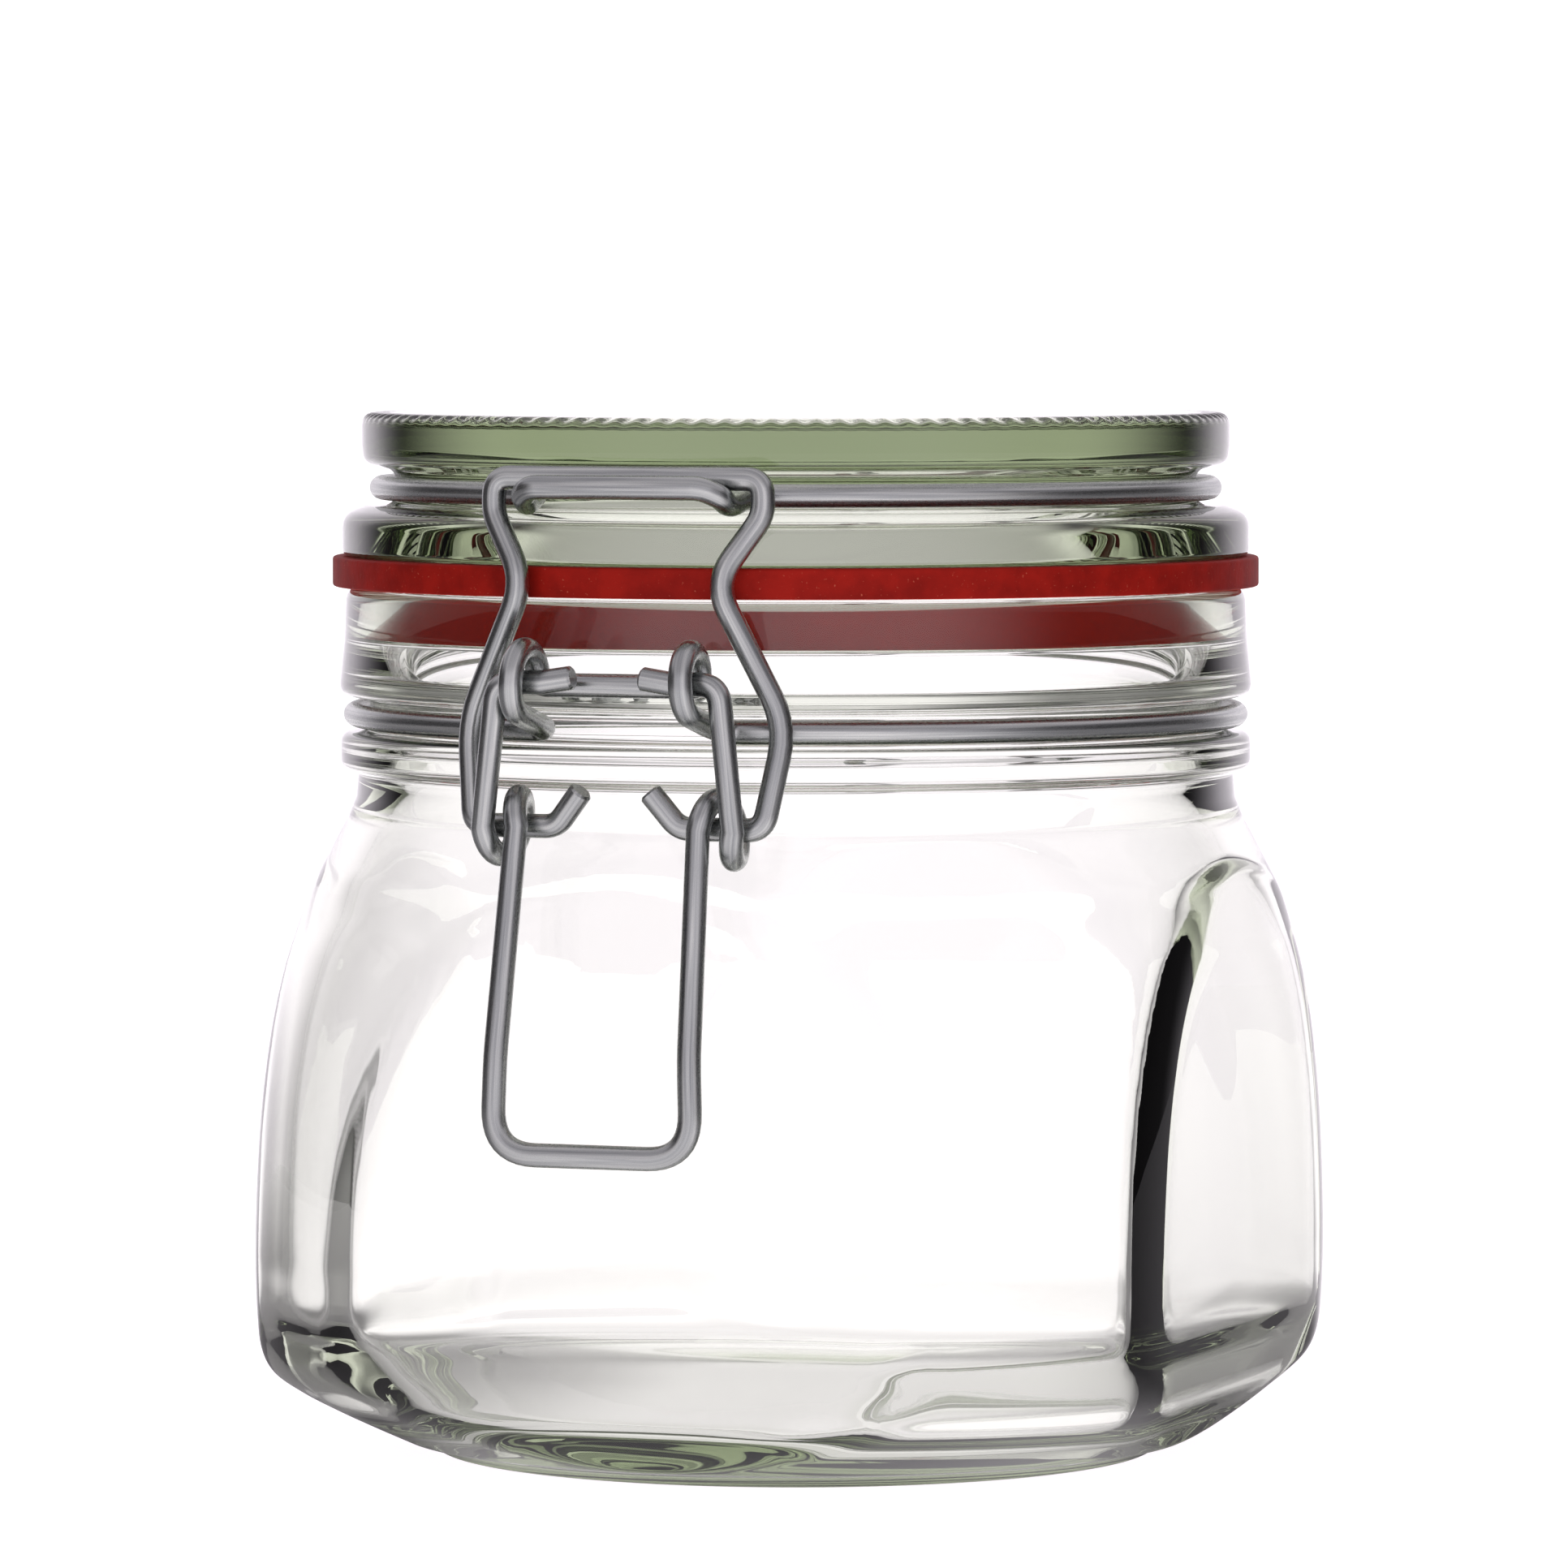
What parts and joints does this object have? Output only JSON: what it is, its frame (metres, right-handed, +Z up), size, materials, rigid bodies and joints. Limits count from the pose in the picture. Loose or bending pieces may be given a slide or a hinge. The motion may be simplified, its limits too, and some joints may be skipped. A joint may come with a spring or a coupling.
{
  "type": "bail clamp jar",
  "caption": "Squat square-bodied glass preserving jar with a round glass lid on a red rubber ring, held by a hinged wire bail and lever clamp.",
  "frame": {"origin": "on the jar's axis, on the surface the jar stands on", "axes": "+Z up along the jar's axis; -Y towards the front, where the lever clamp is; the lid's hinge is at +Y; +X to the right of someone facing the clamp"},
  "size_m": [0.0968, 0.1138, 0.1065],
  "materials": {
    "clear_glass": "clear, slightly green soda-lime glass",
    "red_rubber": "matte, finely speckled",
    "steel_wire": "satin drawn wire"
  },
  "bodies": {
    "jar": {"glass_jar": "clear_glass", "neck_wire": "steel_wire"},
    "lid": {"glass_lid": "clear_glass", "lid_wire": "steel_wire", "rubber_gasket": "red_rubber"},
    "lever": {"lever_wire": "steel_wire"},
    "bail": {"bail_wire": "steel_wire"}
  },
  "joints": [
    {"name": "lid_hinge", "type": "hinge", "parent": "jar", "child": "lid", "pos_m": [0, 0.0522, 0.0842], "axis": [-1, 0, 0], "range_deg": [0, 110]},
    {"name": "lever_pivot", "type": "hinge", "parent": "jar", "child": "lever", "pos_m": [0, -0.0518, 0.0806], "axis": [-1, 0, 0], "range_deg": [0, 87.5]},
    {"name": "bail_pivot", "type": "hinge", "parent": "lever", "child": "bail", "pos_m": [0, -0.049, 0.0663], "axis": [-1, 0, 0], "range_deg": [-157.5, 0]}
  ],
  "couplings": [
    {"joint": "bail_pivot", "follows": "lever_pivot", "ratio": -1.8}
  ]
}
